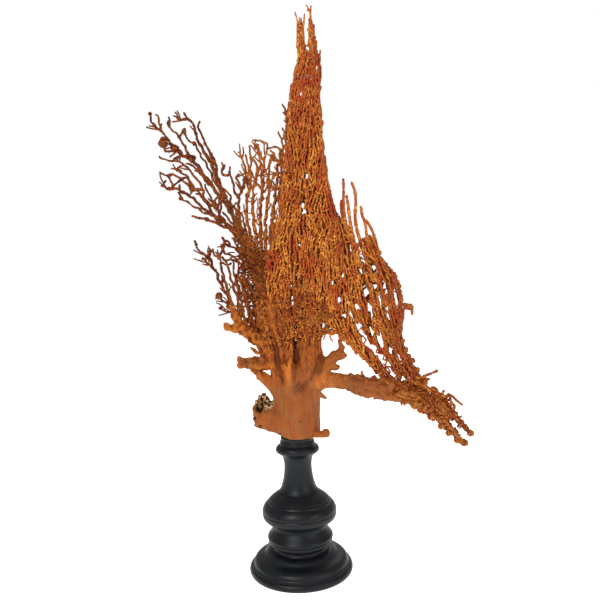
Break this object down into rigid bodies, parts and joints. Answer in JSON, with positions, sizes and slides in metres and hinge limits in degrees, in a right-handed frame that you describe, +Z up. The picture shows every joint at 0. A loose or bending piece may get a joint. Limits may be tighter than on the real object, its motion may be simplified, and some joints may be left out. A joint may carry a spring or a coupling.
{
  "type": "sea fan on a turned stand",
  "caption": "Dried branching sea fan with dense upright and trailing fans, standing on a black turned baluster stand.",
  "frame": {"origin": "centre of the stand's flat underside, on the stand's turning axis", "axes": "+Z up, +X along the spread of the fan towards its long arm, -Y towards its front face"},
  "size_m": [0.2887, 0.092, 0.505],
  "materials": {
    "ebonised_wood": "satin black stain, waxed",
    "coral_rind": "dry, matt, grooved and pitted",
    "golden_twigs": "dry, matt, granular",
    "russet_twigs": "dry, slightly waxy"
  },
  "bodies": {
    "root": {"arm_tip_branch_1": "golden_twigs", "arm_tip_branch_2": "golden_twigs", "arm_tip_branch_3": "golden_twigs", "arm_tip_branch_4": "golden_twigs", "arm_tip_branch_5": "golden_twigs", "back_branch_1": "golden_twigs", "back_branch_2": "golden_twigs", "back_branch_3": "golden_twigs", "back_branch_4": "golden_twigs", "centre_limb": "coral_rind", "left_stub": "coral_rind", "lower_left_branch_1": "russet_twigs", "lower_left_branch_2": "russet_twigs", "lower_left_branch_3": "russet_twigs", "lower_left_branch_4": "russet_twigs", "lower_left_limb": "coral_rind", "middle_left_branch_1": "golden_twigs", "middle_left_branch_2": "golden_twigs", "middle_left_branch_3": "golden_twigs", "middle_left_branch_4": "golden_twigs", "right_arm": "coral_rind", "right_branch_1": "golden_twigs", "right_branch_2": "golden_twigs", "right_branch_3": "golden_twigs", "right_branch_4": "golden_twigs", "right_branch_5": "golden_twigs", "right_branch_6": "golden_twigs", "spire_branch_1": "golden_twigs", "spire_branch_2": "golden_twigs", "spire_branch_3": "golden_twigs", "spire_branch_4": "golden_twigs", "stand_foot_and_bulb": "ebonised_wood", "stand_neck_and_collar": "ebonised_wood", "trunk": "coral_rind", "upper_left_branch_1": "russet_twigs", "upper_left_branch_2": "russet_twigs", "upper_left_branch_3": "russet_twigs", "upper_left_branch_4": "russet_twigs", "upper_left_branch_5": "russet_twigs", "upper_left_branch_6": "russet_twigs", "upper_left_branch_7": "russet_twigs", "upper_left_branch_8": "russet_twigs", "upper_left_branch_9": "russet_twigs", "upper_left_limb": "coral_rind", "upper_right_limb": "coral_rind"}
  },
  "joints": []
}
